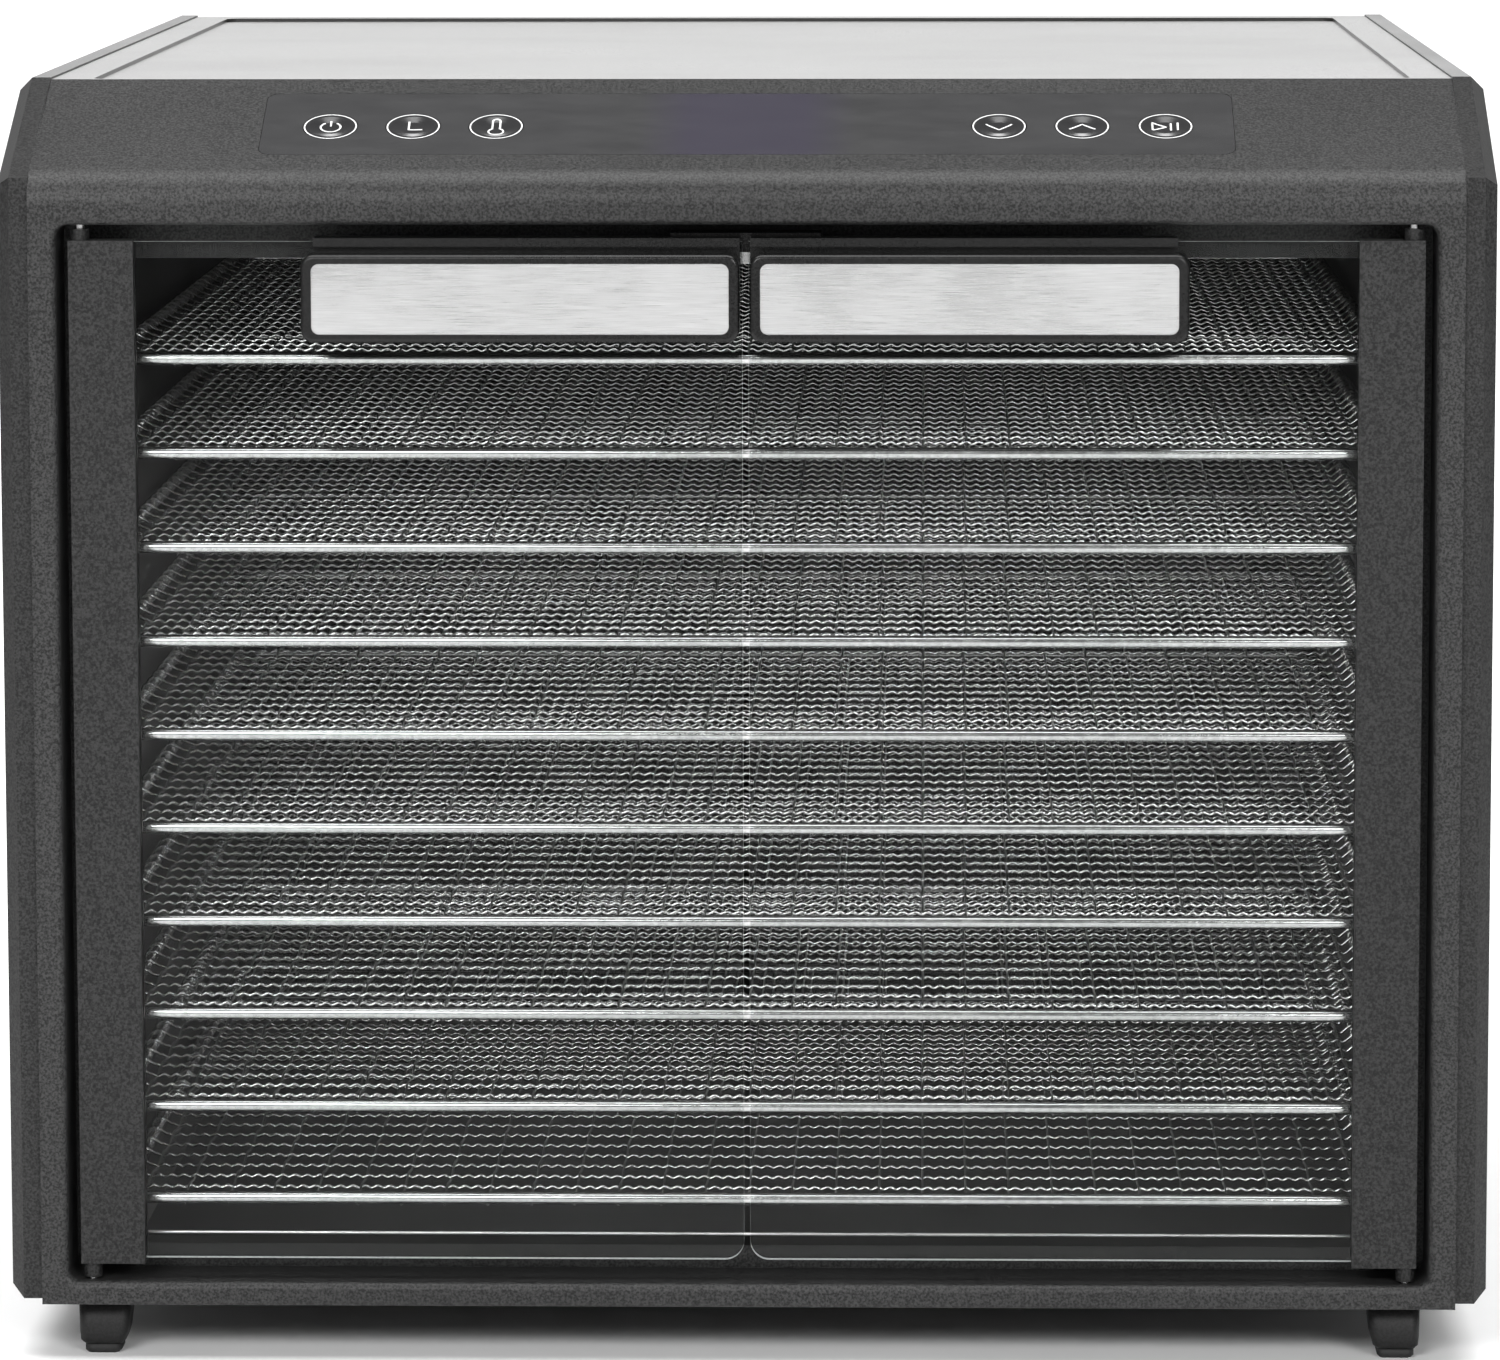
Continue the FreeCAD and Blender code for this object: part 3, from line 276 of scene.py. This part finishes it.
def circuit_board():
    """Green board with paler tracks."""
    s = Shader("board")
    tracks = s.add("TexBrick", {
        "Vector": s.place(), "Scale": 160.0, "Mortar": (0.03, 0.22, 0.09, 1),
        "Color1": (0.01, 0.10, 0.04, 1), "Color2": (0.012, 0.13, 0.05, 1),
    })
    return s.finish(s.principled({
        "Base Color": tracks.outputs[0], "Roughness": s.remap(s.noise(300.0), 0.3, 0.5),
        "Normal": s.bump(tracks.outputs[1], 0.02 * MM),
    }))


def white_print():
    """Screen-printed white ink."""
    s = Shader("white_print")
    ink = s.noise(2500.0, 2.0)
    return s.finish(s.principled({
        "Base Color": s.blend(s.remap(ink, 0.0, 1.0), (0.62, 0.62, 0.62, 1), (0.80, 0.80, 0.80, 1)),
        "Roughness": s.remap(ink, 0.4, 0.6), "Normal": s.bump(ink, 0.01 * MM),
    }))


def studio_floor():
    """Matt white paper."""
    s = Shader("studio_floor")
    paper = s.noise(30.0, 3.0)
    return s.finish(s.principled({
        "Base Color": s.blend(s.remap(paper, 0.0, 1.0), (0.94, 0.94, 0.94, 1), (0.96, 0.96, 0.96, 1)),
        "Roughness": s.remap(paper, 0.7, 0.8), "Specular IOR Level": 0.2,
    }))


def make_materials():
    """One finished material for each slot of the record."""
    return {
        "frame_plastic": moulded("frame_plastic", 0.004, 0.038, 1250.0, 0.05 * MM, (0.40, 0.48), level=0.3),
        "side_plastic": moulded("side_plastic", 0.002, 0.026, 1250.0, 0.05 * MM, (0.38, 0.46), level=0.3),
        "top_plastic": moulded("top_plastic", 0.020, 0.032, 1800.0, 0.008 * MM, (0.28, 0.34), WARM),
        "stile_plastic": moulded("stile_plastic", 0.001, 0.024, 1200.0, 0.05 * MM, (0.45, 0.55), level=0.3),
        "liner_metal": moulded("liner_metal", 0.005, 0.014, 1600.0, 0.02 * MM, (0.34, 0.44), level=0.4),
        "drip_coating": moulded("drip_coating", 0.002, 0.010, 1800.0, 0.02 * MM, (0.30, 0.40), level=0.3),
        "rear_metal": moulded("rear_metal", 0.016, 0.024, 900.0, 0.02 * MM, (0.45, 0.6)),
        "inlet_plastic": moulded("inlet_plastic", 0.012, 0.020, 900.0, 0.03 * MM, (0.35, 0.5)),
        "filter_gauze": gauze(),
        "clear_pane": clear_pane(),
        "handle_plastic": moulded("handle_plastic", 0.003, 0.009, 1500.0, 0.02 * MM, (0.26, 0.36),
                                  level=0.3),
        "brushed_insert": metal("brushed_insert", 0.56, 0.72, (0.25, 0.34), 1.0, (90, 7000, 7000),
                                0.003 * MM),
        "overlay_gloss": overlay_gloss(),
        "key_gloss": polished("key_gloss", (0.020, 0.020, 0.021), (0.10, 0.16)),
        "display_glass": polished("display_glass", (0.012, 0.010, 0.014), (0.06, 0.12)),
        "tray_wire": metal("tray_wire", 0.58, 0.80, (0.14, 0.22), 700.0),
        # long_wire is a darker copy of the tray_wire steel: painted shade on the front-to-back wires
        "long_wire": metal("long_wire", 0.16, 0.24, (0.30, 0.42), 700.0),
        "drip_steel": metal("drip_steel", 0.62, 0.74, (0.22, 0.34), 1.0, (30, 3000, 3000), 0.004 * MM),
        "steel": metal("steel", 0.60, 0.76, (0.18, 0.30), 900.0),
        "heater_metal": metal("heater_metal", 0.20, 0.34, (0.40, 0.55), 500.0, (1, 1, 1), 0.03 * MM,
                              SCORCHED),
        "motor_metal": metal("motor_metal", 0.40, 0.52, (0.30, 0.45), 500.0),
        # fan_aluminium is darker than bare aluminium: painted shade for the fan's place behind the baffle
        "fan_aluminium": metal("fan_aluminium", 0.30, 0.42, (0.38, 0.52), 400.0),
        "board": circuit_board(),
        "foot_plastic": moulded("foot_plastic", 0.004, 0.012, 1200.0, 0.05 * MM, (0.45, 0.6), level=0.3),
        "rubber": moulded("rubber", 0.008, 0.014, 900.0, 0.06 * MM, (0.6, 0.75)),
    }


def dress_nodes(materials):
    """Gives every CAD node the finished material of its slot in the record."""
    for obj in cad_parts.values():
        for index, slot in enumerate(obj.material_slots):
            name = slot.material.name.split(".")[0]
            obj.material_slots[index].material = materials[name]


# ---------------------------------------------------------------- mesh helpers

def make_piece(name, vertices, faces, material, slot, body, smooth=True):
    """A mesh object in the row frame that rides on a body."""
    mesh = bpy.data.meshes.new(name)
    mesh.from_pydata([tuple(v) for v in vertices], [], faces)
    mesh.polygons.foreach_set("use_smooth", [smooth] * len(mesh.polygons))
    mesh.materials.append(material)
    obj = bpy.data.objects.new(name, mesh)
    bpy.context.scene.collection.objects.link(obj)
    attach(obj, body)
    return obj


def sweep(vertices, faces, path, radius, sides, closed=False):
    """Adds a round wire along a path that never runs straight up."""
    base = len(vertices)
    count = len(path)
    side = None
    for index, point in enumerate(path):
        before = path[index - 1] if index or closed else point
        after = path[(index + 1) % count] if index + 1 < count or closed else point
        along = (after - before).normalized()
        if side is None:
            side = along.cross(Vector((0, 0, 1))).normalized()
        side = (side - along * side.dot(along)).normalized()
        up = side.cross(along)
        for step in range(sides):
            turn = 2 * math.pi * step / sides
            vertices.append(point + (side * math.cos(turn) + up * math.sin(turn)) * radius)
    for ring in range(count if closed else count - 1):
        here = base + ring * sides
        there = base + (ring + 1) % count * sides
        for step in range(sides):
            after = (step + 1) % sides
            faces.append((here + step, here + after, there + after, there + step))
    if not closed:
        last = base + (count - 1) * sides
        faces.append(tuple(base + step for step in reversed(range(sides))))
        faces.append(tuple(last + step for step in range(sides)))


def arc(centre, radius, start, end, steps):
    """Points on a circle in the XY plane; angles in degrees."""
    points = []
    for step in range(steps + 1):
        turn = math.radians(start + (end - start) * step / steps)
        points.append(Vector((centre[0] + radius * math.cos(turn), centre[1] + radius * math.sin(turn), 0)))
    return points


# ---------------------------------------------------------------- trays

def rounded_rectangle(half, front, back, corner, height=0.0):
    """A level loop with rounded corners."""
    path = []
    inner = half - corner
    for x, y, start in ((inner, front + corner, -90), (inner, back - corner, 0),
                        (-inner, back - corner, 90), (-inner, front + corner, 180)):
        path += arc((x, y), corner, start, start + 90, CORNER_STEPS)
    return [point + Vector((0, 0, height)) for point in path]


def cross_wire(half, y):
    """A crimped wire from side to side whose ends are wrapped over the side rods."""
    hold = ROD_RADIUS + WIRE_RADIUS
    start = half - 4 * MM
    steps = round(2 * start / WAVE_LENGTH * WAVE_STEPS)
    middle = []
    for step in range(steps + 1):
        x = -start + 2 * start * step / steps
        lift = WAVE_HEIGHT * math.sin(2 * math.pi * x / WAVE_LENGTH)
        middle.append(Vector((x, y, lift)))
    wrap = [Vector((half + hold * math.cos(math.radians(turn)), y, hold * math.sin(math.radians(turn))))
            for turn in (125, 95, 65, 35, 5, -20)]
    mirrored = [Vector((-point.x, point.y, point.z)) for point in reversed(wrap)]
    return mirrored + middle + wrap


def long_wire(x, depth, rows, column):
    """A wire from front to back that weaves over and under the cross wires and hooks under the rods."""
    hold = ROD_RADIUS + LONG_WIRE_RADIUS
    points = [Vector((x, 0.5 * MM, -hold)), Vector((x, 2.2 * MM, -1.4 * MM))]
    first = ROW_PITCH * 0.5
    for step in range(rows * WEAVE_STEPS + 1):
        y = first + ROW_PITCH * step / WEAVE_STEPS
        if y > depth - 4 * MM:
            break
        lift = WEAVE_HEIGHT * math.cos(math.pi * (y / ROW_PITCH + column))
        points.append(Vector((x, y, lift)))
    points.append(Vector((x, depth - 2.2 * MM, -1.4 * MM)))
    points.append(Vector((x, depth - 0.5 * MM, -hold)))
    return points


def tray_mesh(half, depth, materials):
    """Edge rod and woven wire of one tray, about the middle of its front rod."""
    vertices = []
    faces = []
    edge = rounded_rectangle(half, 0, depth, CORNER_RADIUS)
    sweep(vertices, faces, edge, ROD_RADIUS, ROD_SIDES, closed=True)
    rows = int((depth - 4 * MM) / ROW_PITCH)
    for row in range(1, rows + 1):
        sweep(vertices, faces, cross_wire(half, row * ROW_PITCH), WIRE_RADIUS, WIRE_SIDES)
    # Faces from here on are the long wires, which take the darker long_wire copy of the steel as painted
    # shade.
    bright = len(faces)
    columns = int((half - 4 * MM) / CELL)
    for column in range(-columns, columns + 1):
        sweep(vertices, faces, long_wire(column * CELL, depth, rows, column), LONG_WIRE_RADIUS, WIRE_SIDES)
    mesh = bpy.data.meshes.new("wire_tray")
    mesh.from_pydata([tuple(v) for v in vertices], [], faces)
    mesh.polygons.foreach_set("use_smooth", [True] * len(faces))
    mesh.polygons.foreach_set("material_index", [int(index >= bright) for index in range(len(faces))])
    mesh.materials.append(materials["tray_wire"])
    mesh.materials.append(materials["long_wire"])
    return mesh


def make_trays(materials):
    """Ten woven trays that share one mesh, each in its own body's place."""
    low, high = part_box("tray_01")
    half = (high.x - low.x) / 2 - ROD_RADIUS
    depth = high.y - low.y - 2 * ROD_RADIUS
    mesh = tray_mesh(half, depth, materials)
    for number in range(1, TRAY_COUNT + 1):
        node = f"tray_{number:02d}"
        low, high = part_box(node)
        obj = bpy.data.objects.new(f"wire_{node}", mesh)
        bpy.context.scene.collection.objects.link(obj)
        obj.location = (0, low.y + ROD_RADIUS, (low.z + high.z) / 2)
        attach(obj, f"{node}_body")
        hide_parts(node)


def loft(vertices, faces, loops, first_cap=True, last_cap=True):
    """A skin through level loops of equal length, with a cap at either end."""
    base = len(vertices)
    count = len(loops[0])
    for loop in loops:
        vertices += loop
    for level in range(len(loops) - 1):
        here = base + level * count
        for step in range(count):
            after = (step + 1) % count
            faces.append((here + step, here + count + step, here + count + after, here + after))
    last = base + (len(loops) - 1) * count
    if first_cap:
        faces.append(tuple(base + step for step in range(count)))
    if last_cap:
        faces.append(tuple(last + step for step in reversed(range(count))))


def make_drip_tray(materials):
    """Coated pan with slanted walls, and the bright hem rolled round its rim."""
    low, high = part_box("drip_tray")
    rim = high.z - HEM_RADIUS

    def loop(inset, height):
        return rounded_rectangle(high.x - inset, low.y + inset, high.y - inset, DRIP_CORNER, height)

    vertices = []
    faces = []
    underside = loop(DRIP_SLANT * 2, low.z)
    outer = [loop(HEM_RADIUS, rim), loop(DRIP_SLANT, low.z), underside]
    loft(vertices, faces, outer, first_cap=False, last_cap=False)
    first = len(vertices) - len(underside)
    bottom_face = tuple(first + step for step in range(len(underside)))
    loft(vertices, faces, [
        loop(HEM_RADIUS + DRIP_SHEET, rim), loop(DRIP_SLANT + DRIP_SHEET, low.z + DRIP_SHEET),
        loop(DRIP_SLANT * 2, low.z + DRIP_SHEET),
    ], first_cap=False)
    faces.append(bottom_face)
    coating = materials["drip_coating"]
    pan = make_piece("drip_pan", vertices, faces, coating, "drip_steel", "drip_tray_body", False)
    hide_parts("drip_tray")
    hem_vertices = []
    hem_faces = []
    sweep(hem_vertices, hem_faces, loop(HEM_RADIUS, rim), HEM_RADIUS, HEM_SIDES, closed=True)
    make_piece("drip_hem", hem_vertices, hem_faces, materials["drip_steel"], "drip_steel", "drip_tray_body")


# ---------------------------------------------------------------- feet and catch

def foot_loop(centre, half, side, inset, inner, corner, height):
    """A level outline of a foot; its inner side is drawn in further than the others."""
    loop = rounded_rectangle(half - inset, -half + inset, half - inset, corner, height)
    for point in loop:
        if point.x * side < 0:
            point.x += side * (inner - inset)
        point.x += centre.x
        point.y += centre.y
    return loop


def make_feet(materials):
    """Four moulded posts that taper on their inner side, on small rubber pads."""
    low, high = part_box("feet")
    posts = ([], [])
    pads = ([], [])
    half = FOOT_SIZE / 2
    for side in (-1, 1):
        for end in (low.y + half, high.y - half):
            centre = Vector((side * (high.x - half), end, 0))
            loft(*posts, [foot_loop(centre, half, side, *level) for level in (
                (0.0, 0.0, 3 * MM, high.z), (0.2 * MM, 1.4 * MM, 3 * MM, low.z + 4 * MM),
                (0.5 * MM, 2.2 * MM, 2.8 * MM, low.z + 1.2 * MM), (1.6 * MM, 3.4 * MM, 2.4 * MM, low.z),
            )])
            loft(*pads, [foot_loop(centre, half, side, *level) for level in (
                (1.8 * MM, 3.6 * MM, 2.4 * MM, low.z), (1.8 * MM, 3.6 * MM, 2.4 * MM, 0.8 * MM),
                (2.6 * MM, 4.4 * MM, 2.0 * MM, 0.0),
            )])
    made = make_piece("foot_posts", *posts, materials["foot_plastic"], "foot_plastic", "housing")
    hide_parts("feet")
    soles = make_piece("foot_soles", *pads, materials["rubber"], "rubber", "housing")
    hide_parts("foot_pads")


def make_catch_plate(materials):
    """Small bright steel face on the door catch, seen between the two handles."""
    low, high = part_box("door_catch")
    vertices = []
    faces = []
    flat = CATCH_HALF - CATCH_CUT
    lower = CATCH_LOW + CATCH_CUT
    upper = CATCH_HIGH - CATCH_CUT
    outline = [(-flat, CATCH_LOW), (flat, CATCH_LOW), (CATCH_HALF, lower), (CATCH_HALF, upper),
               (flat, CATCH_HIGH), (-flat, CATCH_HIGH), (-CATCH_HALF, upper), (-CATCH_HALF, lower)]
    for y in (low.y, low.y - CATCH_PROUD):
        vertices += [Vector((x * MM, y, low.z + z * MM)) for x, z in outline]
    count = len(outline)
    faces.append(tuple(reversed(range(count))))
    faces.append(tuple(range(count, 2 * count)))
    for step in range(count):
        after = (step + 1) % count
        faces.append((step, after, count + after, count + step))
    make_piece("catch_face", vertices, faces, materials["steel"], "steel", "housing", False)


# ---------------------------------------------------------------- control panel

def slope_axes():
    """The middle of the overlay's lower edge, the direction up the slope and the one out of it."""
    low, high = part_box("control_overlay")
    up = Vector((0, math.cos(SLOPE), math.sin(SLOPE)))
    out = Vector((0, -math.sin(SLOPE), math.cos(SLOPE)))
    edge = Vector((0, low.y, high.z - OVERLAY_LENGTH * math.sin(SLOPE)))
    return edge, up, out


def ribbon(points, width, closed=False):
    """A flat stroke along points in the XY plane, as two rows of vertices and the faces between."""
    vertices = []
    faces = []
    count = len(points)
    for index, point in enumerate(points):
        before = points[index - 1] if index or closed else point
        after = points[(index + 1) % count] if index + 1 < count or closed else point
        along = (after - before).normalized()
        across = Vector((-along.y, along.x, 0)) * width / 2
        vertices += [point + across, point - across]
    for index in range(count if closed else count - 1):
        after = (index + 1) % count
        faces.append((2 * index + 1, 2 * after + 1, 2 * after, 2 * index))
    return vertices, faces


def fine_line(*corners):
    """Straight runs between corners, cut into short steps."""
    points = []
    for start, end in zip(corners, corners[1:]):
        first = Vector((*start, 0)) * MM
        last = Vector((*end, 0)) * MM
        points += [first.lerp(last, step / LINE_STEPS) for step in range(LINE_STEPS)]
    points.append(Vector((*corners[-1], 0)) * MM)
    return points


def circle_points(radius):
    """Points round a full circle, without repeating the first."""
    return arc((0, 0), radius, 0, 360 * (RING_STEPS - 1) / RING_STEPS, RING_STEPS - 1)


def symbol(key):
    """The strokes of a key's generic symbol, in metres about the key's middle, and whether each closes."""
    if key == "key_power":
        return [(arc((0, 0), 2.6 * MM, 125, 415, 40), False), (fine_line((0, 0.6), (0, 3.2)), False)]
    if key == "key_time":
        return [(fine_line((-1.2, 2.9), (-1.2, -1.4)), False), (fine_line((-1.4, -1.4), (2.4, -1.4)), False)]
    if key == "key_temperature":
        stem = [Vector((-1.0, -0.9, 0)) * MM, Vector((-1.0, 3.0, 0)) * MM]
        cap = arc((0, 3.0 * MM), 1.0 * MM, 180, 0, 8)
        bulb = arc((0, -2.6 * MM), 1.95 * MM, 60, -240, 24)
        return [(stem + cap + bulb, True)]
    if key == "key_down":
        return [(fine_line((-3.4, 1.3), (0, -1.5), (3.4, 1.3)), False)]
    if key == "key_up":
        return [(fine_line((-3.4, -1.4), (0, 1.5), (3.4, -1.4)), False)]
    play = fine_line((-3.4, -2.0), (0.2, 0), (-3.4, 2.0), (-3.4, -2.0))
    bars = [(fine_line((x, -2.0), (x, 2.0)), False) for x in (1.4, 3.2)]
    return [(play, False)] + bars


def key_print(key, materials):
    """The printed ring and symbol, laid on the key's dished face."""
    edge, up, out = slope_axes()
    low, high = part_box(key)
    centre = edge + up * KEY_LINE_UP
    centre.x = (low.x + high.x) / 2
    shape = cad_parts[key].data
    surface = BVHTree.FromPolygons([v.co for v in shape.vertices], [p.vertices for p in shape.polygons])
    ring = (circle_points((RING_OUTER + RING_INNER) / 2), True)
    vertices = []
    faces = []
    for points, closed in [ring] + symbol(key):
        width = RING_OUTER - RING_INNER if points is ring[0] else STROKE
        if points is not ring[0]:
            points = [point * SYMBOL_SIZE + Vector((0, SYMBOL_RISE, 0)) for point in points]
        flat, stroke_faces = ribbon(points, width, closed)
        start = len(vertices)
        for point in flat:
            above = centre + Vector((point.x, 0, 0)) + up * point.y + out * RAY_START
            hit = surface.ray_cast(above, -out)[0]
            vertices.append((hit or above - out * RAY_START) + out * PRINT_LIFT)
        faces += [tuple(start + corner for corner in face) for face in stroke_faces]
    make_piece(f"{key}_print", vertices, faces, materials["white_print"], "key_gloss", f"{key}_body")


# ---------------------------------------------------------------- studio

def make_camera():
    """A long lens a little above the keys, turned slightly to the left."""
    forward = Vector((math.sin(CAMERA_YAW) * math.cos(CAMERA_PITCH),
                      math.cos(CAMERA_YAW) * math.cos(CAMERA_PITCH), -math.sin(CAMERA_PITCH)))
    level = Vector((math.cos(CAMERA_YAW), -math.sin(CAMERA_YAW), 0))
    upright = level.cross(forward)
    right = level * math.cos(CAMERA_ROLL) + upright * math.sin(CAMERA_ROLL)
    up = upright * math.cos(CAMERA_ROLL) - level * math.sin(CAMERA_ROLL)
    data = bpy.data.cameras.new("camera")
    data.lens = LENS
    data.sensor_width = SENSOR
    data.shift_y = SHIFT_DOWN
    data.clip_end = VIEW_DISTANCE
    camera = bpy.data.objects.new("camera", data)
    turn = Matrix((right, up, -forward)).transposed().to_4x4()
    camera.matrix_world = Matrix.Translation(Vector(CAMERA_PLACE)) @ turn
    bpy.context.scene.collection.objects.link(camera)
    bpy.context.scene.camera = camera


def soft_box(name, place, aim, size, power, mirrored=True):
    """A rectangular light at a place, turned towards another; the camera never sees it."""
    data = bpy.data.lights.new(name, "AREA")
    data.shape = "RECTANGLE"
    data.size, data.size_y = size
    data.energy = power
    light = bpy.data.objects.new(name, data)
    light.location = place
    light.visible_glossy = mirrored
    light.visible_camera = False
    light.rotation_mode = "QUATERNION"
    light.rotation_quaternion = (Vector(aim) - Vector(place)).to_track_quat("-Z", "Y")
    bpy.context.scene.collection.objects.link(light)


def make_studio():
    """Pale floor, soft boxes, and surroundings that are white to the eye and dimmer in reflections."""
    reach = FLOOR_REACH
    corners = [(-reach, -reach, 0), (reach, -reach, 0), (reach, reach, 0), (-reach, reach, 0)]
    mesh = bpy.data.meshes.new("floor")
    mesh.from_pydata(corners, [], [(0, 1, 2, 3)])
    mesh.materials.append(studio_floor())
    floor = bpy.data.objects.new("floor", mesh)
    bpy.context.scene.collection.objects.link(floor)
    world = bpy.data.worlds.new("studio")
    bpy.context.scene.world = world
    world.use_nodes = True
    tree = world.node_tree
    background = tree.nodes["Background"]
    background.inputs[0].default_value = (1, 1, 1, 1)
    seen = tree.nodes.new("ShaderNodeMapRange")
    seen.inputs["To Min"].default_value = SURROUND_STRENGTH
    tree.links.new(tree.nodes.new("ShaderNodeLightPath").outputs["Is Camera Ray"], seen.inputs["Value"])
    tree.links.new(seen.outputs[0], background.inputs[1])
    soft_box("key_light", (-0.9, -2.6, 1.5), (0, 0, 0.2), (1.2, 0.7), 40)
    soft_box("fill_light", (1.2, -2.7, 1.3), (0, 0, 0.2), (1.0, 0.7), 34)
    soft_box("top_light", (0, -0.3, 2.0), (0, 0, 0.3), (2.2, 1.4), 48)
    soft_box("rear_light", (0, 3.2, 0.85), (0, 0, 0.4), (5.0, 0.9), 17)
    soft_box("rear_high_light", (0, 2.6, 1.6), (0, 0, 0.35), (2.6, 0.7), 26)
    soft_box("backdrop_light", (0, 7, 6), (0, 8, 0), (12, 8), 900, mirrored=False)
    bpy.context.scene.view_settings.view_transform = "Standard"


def main():
    make_camera()
    make_studio()
    materials = make_materials()
    materials["white_print"] = white_print()
    dress_nodes(materials)
    make_trays(materials)
    make_drip_tray(materials)
    make_feet(materials)
    make_catch_plate(materials)
    for key in KEYS:
        key_print(key, materials)


main()
